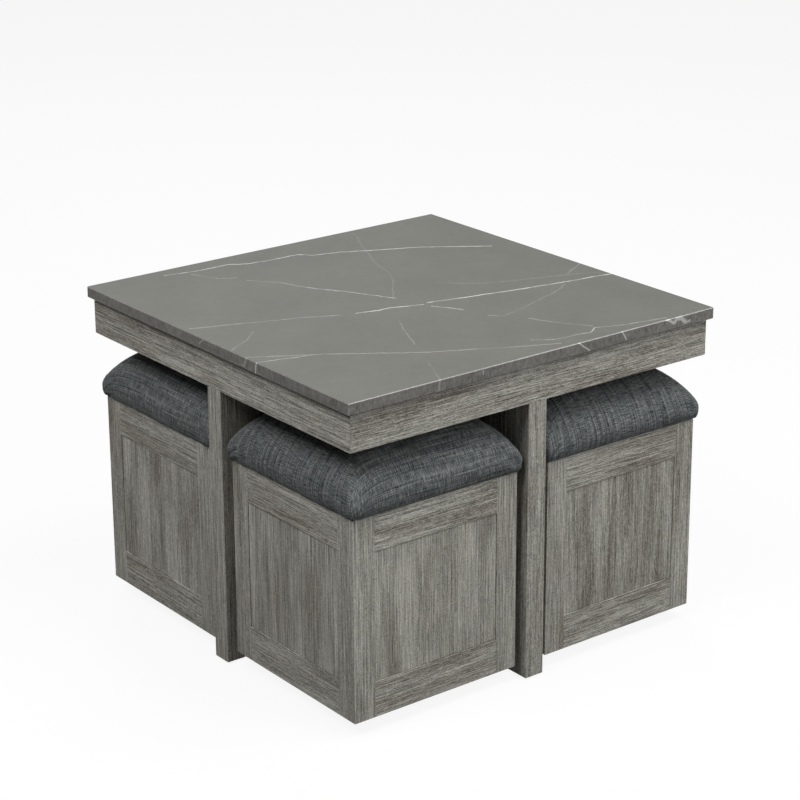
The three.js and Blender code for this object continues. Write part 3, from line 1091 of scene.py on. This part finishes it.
def foldCorners(cover, profile, fold):
    mesh = cover.data
    sheet = sheetOf(mesh)
    places = fetched(mesh.vertices, "co", 3)
    normals = fetched(mesh.vertices, "normal", 3)
    face = faceFrame(profile, sheet, np.abs(sheet[:, 0]) > np.abs(sheet[:, 1]))
    up, near, far = face["up"], face["fromLeft"], face["fromRight"]

    climb = np.clip(near / fold["creaseLength"], 0, 1) ** fold["creaseBend"]
    above = up - fold["creaseStart"] - (fold["creaseHeight"] - fold["creaseStart"]) * climb
    fade = smooth(near, fold["creaseFade"] * fold["creaseLength"], fold["creaseLength"])
    valley = -fold["creaseDepth"] * hill(above, fold["creaseWidth"])
    flap = fold["flap"] * hill(above - fold["flapWidth"], fold["flapWidth"])
    shift = (valley + flap) * smooth(near, *fold["creaseFoot"]) * (1 - fade)

    height, rise = fold["secondHeight"]
    above = up - height - rise * np.clip(near / fold["secondLength"], 0, 1)
    second = (1 - smooth(near, *fold["secondFade"])) * smooth(near, *fold["secondFoot"])
    shift -= fold["secondDepth"] * fold["creaseDepth"] * hill(above, fold["creaseWidth"]) * second

    edge = np.exp(-near / fold["flapReach"]) * (near < far) * (1 - smooth(up, *fold["flapFade"]))
    shift += fold["flap"] * fold["flapShare"] * edge * smooth(up, 0.0, fold["flapFoot"])
    for side, (count, turn) in fold["fanRays"].items():
        rays = np.cos(np.arctan2(up, face[side]) * count + turn)
        radius = np.hypot(up, face[side])
        faded = smooth(radius, *fold["fanStart"]) * (1 - smooth(radius, *fold["fanEnd"]))
        shift += fold["fan"] * rays * faded
    foot = np.exp(-up / fold["puckerReach"]) * smooth(up, 0.0, fold["puckerFoot"])
    for axis, (waves, drift) in enumerate(fold["puckerWaves"]):
        shift += fold["pucker"] * np.sin(face["along"] * waves + places[:, axis] * drift) * foot
    mesh.vertices.foreach_set("co", (places + normals * shift[:, None]).ravel())
    mesh.update()


def closeUnder(cover, shape):  # turned in under the seat, and hollow for the lid board
    mesh = cover.data
    hemHalf = max(vertex.co.x for vertex in mesh.vertices if vertex.co.z < 1e-6)
    mode("EDIT")
    bpy.ops.mesh.select_mode(type="EDGE")
    bpy.ops.mesh.select_all(action="DESELECT")
    bpy.ops.mesh.select_non_manifold()
    share = shape["pocketHalf"] / hemHalf
    bpy.ops.mesh.extrude_edges_move(TRANSFORM_OT_translate={"value": (0, 0, 0)})
    bpy.ops.transform.resize(value=(share, share, 1), center_override=(0, 0, 0))
    bpy.ops.mesh.extrude_edges_move(TRANSFORM_OT_translate={"value": (0, 0, shape["pocketHeight"])})
    bpy.ops.mesh.edge_face_add()
    bpy.ops.mesh.select_all(action="SELECT")
    bpy.ops.mesh.normals_make_consistent(inside=False)
    mode("OBJECT")


def layWeave(cover, profile, fold):  # the threads' own coordinates, in metres of cloth
    mesh = cover.data
    uv = mesh.uv_layers.new(name="weave")
    sizes = fetched(mesh.polygons, "loop_total", 1, np.int32)
    sheet = sheetOf(mesh)[fetched(mesh.loops, "vertex_index", 1, np.int32)]
    owner = np.repeat(np.arange(len(sizes)), sizes)
    middle = np.stack([np.bincount(owner, sheet[:, axis]) / sizes for axis in (0, 1)], 1)[owner]
    sideways = np.abs(middle[:, 0]) > np.abs(middle[:, 1])
    face = faceFrame(profile, sheet, sideways)
    up, near, far = face["up"], face["fromLeft"], face["fromRight"]
    along, down = face["along"], face["down"]
    plainCloth = smooth(up, *fold["foldTop"])
    folded = 1 - plainCloth
    nearCorner = np.exp(-near / fold["pullReach"])
    farCorner = np.exp(-far / fold["pullReach"])
    half = face["spare"] / 2 * plainCloth
    along = along + (farCorner - nearCorner) * half
    down = down - (farCorner + nearCorner) * half
    down = down - fold["pull"] * (1 - np.exp(-up / fold["pullStart"])) * folded * nearCorner
    gathered = fold["gather"] * (1 - np.exp(-far / fold["pullStart"])) * folded
    along = along - gathered * np.exp(-up / fold["gatherReach"]) * np.exp(-far / fold["gatherEnd"])
    sign = np.sign(np.where(sideways, middle[:, 0], middle[:, 1]))
    u = np.where(sideways, sign * down, -sign * along)
    v = np.where(sideways, sign * along, sign * down)
    uv.data.foreach_set("uv", np.stack([u, v], 1).astype(np.float32).ravel())
    mesh.attributes.remove(mesh.attributes["sheet"])


def addCushions(shape, fold):
    seatLow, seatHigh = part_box("front_left_stool_cushion")
    boxLow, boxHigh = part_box("front_left_stool_front_wall")
    half = (boxHigh.x - boxLow.x) / 2
    slim = dict(shape, overhang=shape["overhang"] - shape["slack"])
    cover, profile = sewnCover(slim, half, seatHigh.z - seatLow.z - shape["slack"])
    fill(cover, shape)
    rounder = cover.modifiers.new("rounder", "SUBSURF")
    rounder.levels = rounder.render_levels = 1
    bpy.context.view_layer.objects.active = cover
    bpy.ops.object.modifier_apply(modifier=rounder.name)
    foldCorners(cover, profile, fold)
    closeUnder(cover, shape)
    layWeave(cover, profile, fold)
    bpy.ops.object.shade_smooth_by_angle(angle=math.radians(shape["smoothAngle"]))
    for place, turn in shape["turns"].items():
        middle = stoolMiddle(place)
        middle.z = seatLow.z
        turned = Matrix.Rotation(math.radians(turn), 4, "Z")
        made = placed(cover, camel(place) + "Cushion", Matrix.Translation(middle) @ turned)
        settle(made, linen, place + "_seat", place + "_stool_cushion")
    bpy.data.objects.remove(cover)


addCushions(cushionShape, foldShape)
print("cushions made")


# The pieces inside and the feet stay as the CAD has them

plainFinishes = {
    "sub_top": board,
    "dowel": board,
    "bottom_board": board,
    "lid_board": board,
    "glide": plastic,
    "foot": plastic,
}
for name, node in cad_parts.items():
    for word, material in plainFinishes.items():
        if word in name:
            for place in node.material_slots:
                place.material = material
